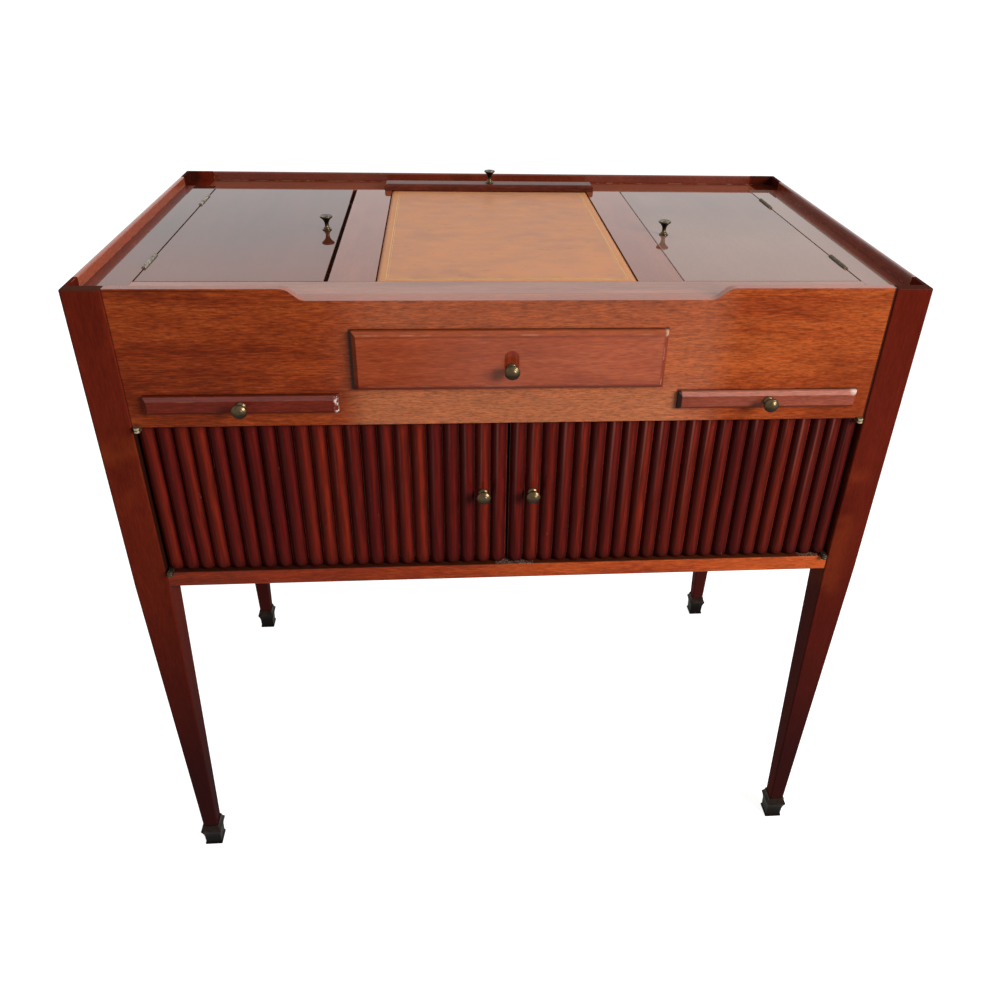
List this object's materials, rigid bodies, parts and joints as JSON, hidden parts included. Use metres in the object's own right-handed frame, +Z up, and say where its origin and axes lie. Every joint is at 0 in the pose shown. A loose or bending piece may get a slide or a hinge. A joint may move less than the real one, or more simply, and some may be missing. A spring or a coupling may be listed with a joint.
{
  "type": "dressing table",
  "caption": "Mahogany dressing table with lidded wells, leather writing panel, rising mirror, drawer, candle slides and reeded doors on tapered legs.",
  "frame": {"origin": "on the floor, under the middle of the table's bounding box", "axes": "+X to the right as seen from the front, +Y from front to back, +Z up"},
  "size_m": [0.8, 0.494, 0.782],
  "materials": {
    "mahogany": "gloss",
    "reeded_mahogany": "gloss",
    "secondary_wood": "satin",
    "brass": "satin",
    "bronze": "satin",
    "leather": "satin",
    "mirror": "gloss"
  },
  "bodies": {
    "table": {"front_left_leg": "mahogany", "front_right_leg": "mahogany", "back_left_leg": "mahogany", "back_right_leg": "mahogany", "sabots": "bronze", "front_apron": "mahogany", "front_rail": "mahogany", "left_side_panel": "mahogany", "right_side_panel": "mahogany", "back_panel": "secondary_wood", "bottom_board": "secondary_wood", "dust_board": "secondary_wood", "mirror_partition": "secondary_wood", "gallery": "mahogany", "well_floors": "secondary_wood", "drawer_dividers": "secondary_wood", "drawer_runners": "secondary_wood", "slide_guides": "secondary_wood", "door_stop": "secondary_wood", "top_end_stiles": "mahogany", "top_middle_stiles": "mahogany", "top_front_rail": "mahogany", "top_back_rail": "mahogany", "writing_board": "secondary_wood", "writing_leather": "leather", "top_ledges": "secondary_wood", "lid_hinge_plates": "brass", "door_pivots": "brass", "mirror_guides": "secondary_wood"},
    "drawer": {"drawer_front": "mahogany", "drawer_sides": "secondary_wood", "drawer_back": "secondary_wood", "drawer_bottom": "secondary_wood", "drawer_lock_patch": "mahogany", "drawer_knob": "brass"},
    "left_slide": {"left_slide_board": "secondary_wood", "left_slide_front": "mahogany", "left_slide_knob": "brass"},
    "left_lid": {"left_lid_board": "mahogany", "left_lid_hinge_leaves": "brass", "left_lid_knob": "brass"},
    "left_door": {"left_door_board": "secondary_wood", "left_door_reeds": "reeded_mahogany", "left_door_hinge_leaves": "brass", "left_door_knob": "brass"},
    "right_slide": {"right_slide_board": "secondary_wood", "right_slide_front": "mahogany", "right_slide_knob": "brass"},
    "right_lid": {"right_lid_board": "mahogany", "right_lid_hinge_leaves": "brass", "right_lid_knob": "brass"},
    "right_door": {"right_door_board": "secondary_wood", "right_door_reeds": "reeded_mahogany", "right_door_hinge_leaves": "brass", "right_door_knob": "brass"},
    "mirror": {"mirror_cap": "mahogany", "mirror_frame": "mahogany", "mirror_glass": "mirror", "mirror_backboard": "secondary_wood", "mirror_knob": "brass"}
  },
  "joints": [
    {"name": "drawer_slide", "type": "slide", "parent": "table", "child": "drawer", "axis": [0, -1, 0], "range_m": [0, 0.26]},
    {"name": "left_candle_slide", "type": "slide", "parent": "table", "child": "left_slide", "axis": [0, -1, 0], "range_m": [0, 0.25]},
    {"name": "left_lid_hinge", "type": "hinge", "parent": "table", "child": "left_lid", "pos_m": [-0.354, 0, 0.758], "axis": [0, -1, 0], "range_deg": [0, 150]},
    {"name": "left_door_hinge", "type": "hinge", "parent": "table", "child": "left_door", "pos_m": [-0.3593, -0.227, 0.5445], "axis": [0, 0, -1], "range_deg": [0, 170]},
    {"name": "right_candle_slide", "type": "slide", "parent": "table", "child": "right_slide", "axis": [0, -1, 0], "range_m": [0, 0.25]},
    {"name": "right_lid_hinge", "type": "hinge", "parent": "table", "child": "right_lid", "pos_m": [0.354, 0, 0.758], "axis": [0, 1, 0], "range_deg": [0, 150]},
    {"name": "right_door_hinge", "type": "hinge", "parent": "table", "child": "right_door", "pos_m": [0.3593, -0.227, 0.5445], "axis": [0, 0, 1], "range_deg": [0, 170]},
    {"name": "mirror_rise", "type": "slide", "parent": "table", "child": "mirror", "axis": [0, 0, 1], "range_m": [0, 0.24]}
  ]
}
